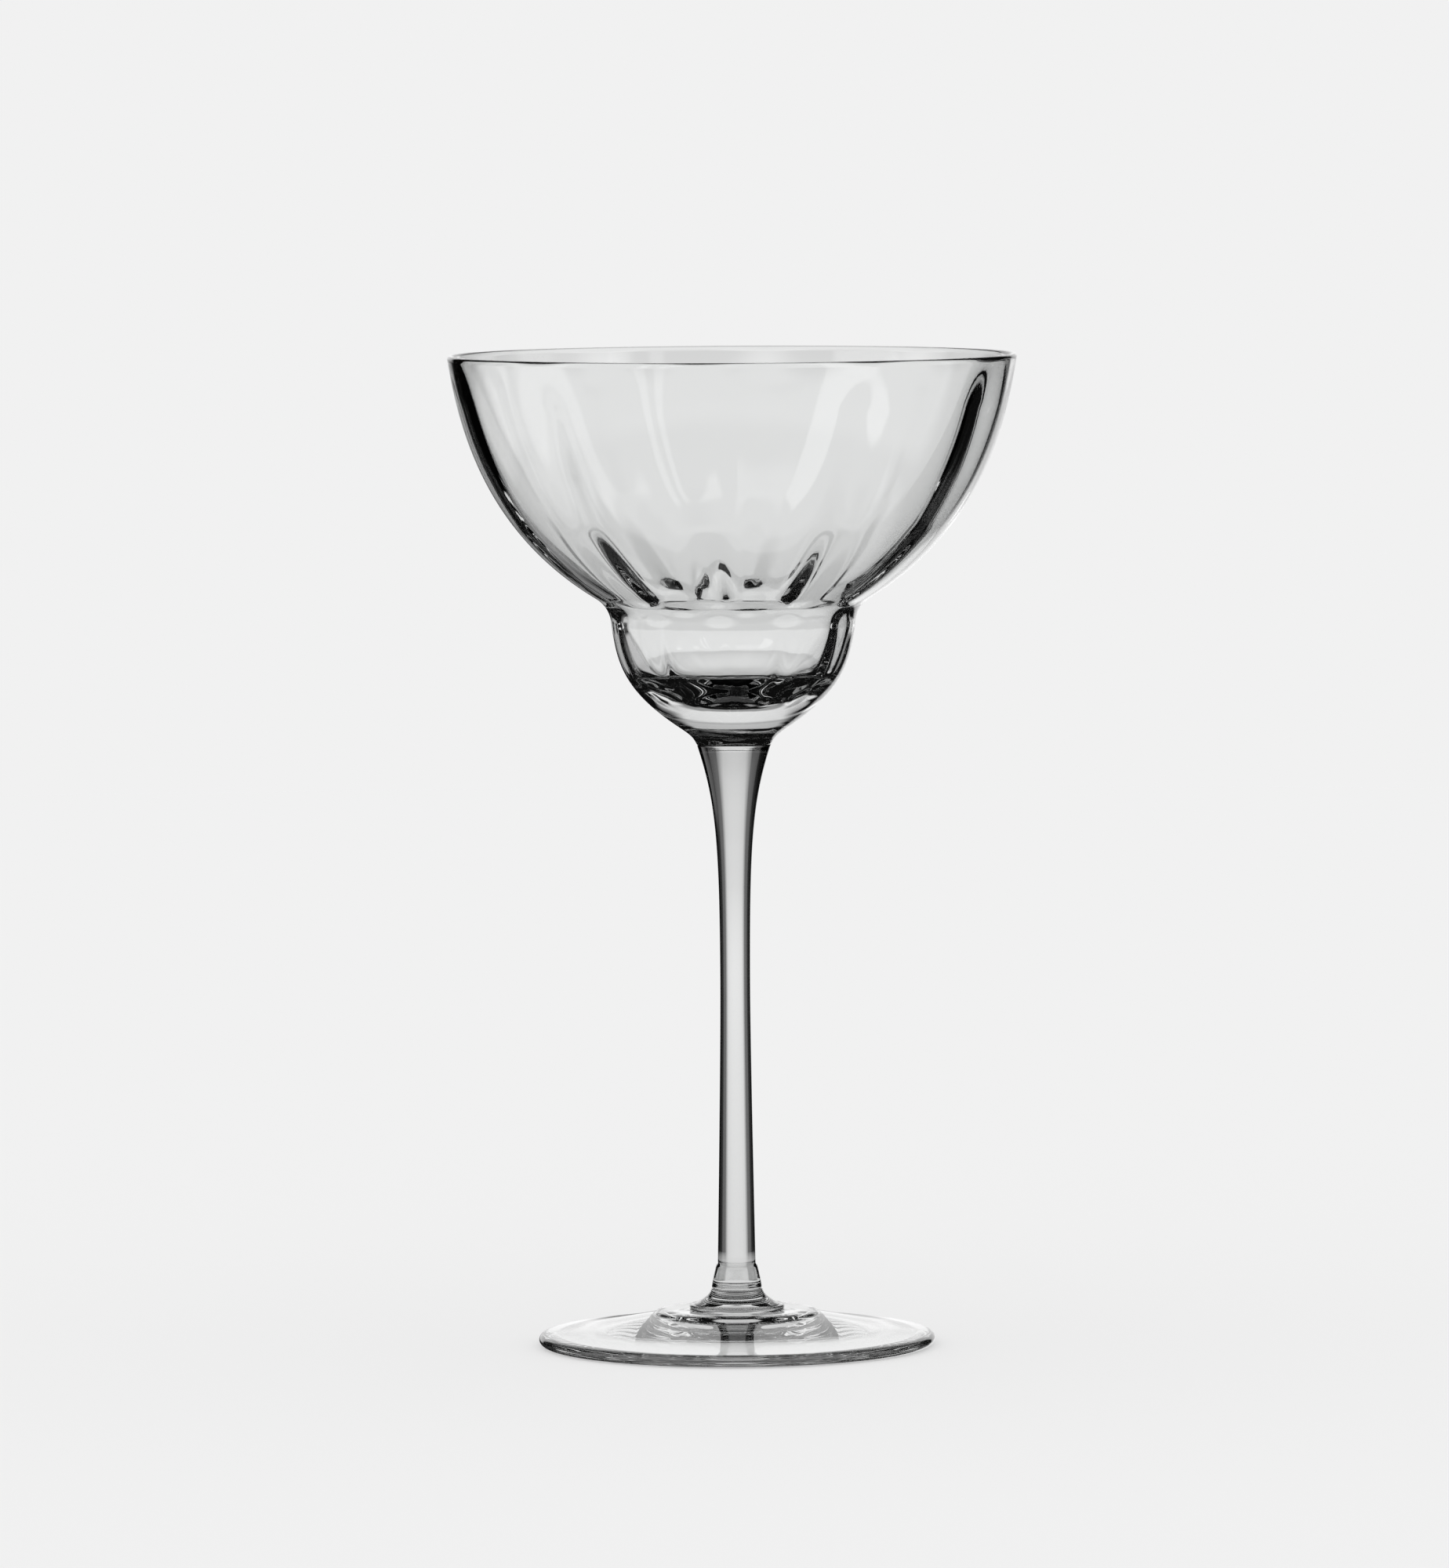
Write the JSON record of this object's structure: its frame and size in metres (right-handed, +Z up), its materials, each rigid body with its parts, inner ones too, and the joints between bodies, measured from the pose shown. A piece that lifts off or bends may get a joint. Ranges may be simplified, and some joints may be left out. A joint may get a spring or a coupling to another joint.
{
  "type": "stepped cocktail glass",
  "caption": "Clear stem glass with a wide upper bowl stepped into a small lower cup, soft optic lobes inside, a slender drawn stem, a bell collar and a round disc foot.",
  "frame": {"origin": "centre of the plane that the foot stands on", "axes": "+Z up along the stem towards the rim, +X to the right and +Y away from the viewer of the front"},
  "size_m": [0.1146, 0.1144, 0.2],
  "materials": {
    "clear_glass": "clear polished glass, fire-polished rim"
  },
  "bodies": {
    "root": {"bowl": "clear_glass", "stem": "clear_glass", "foot_collar": "clear_glass", "foot": "clear_glass"}
  },
  "joints": []
}
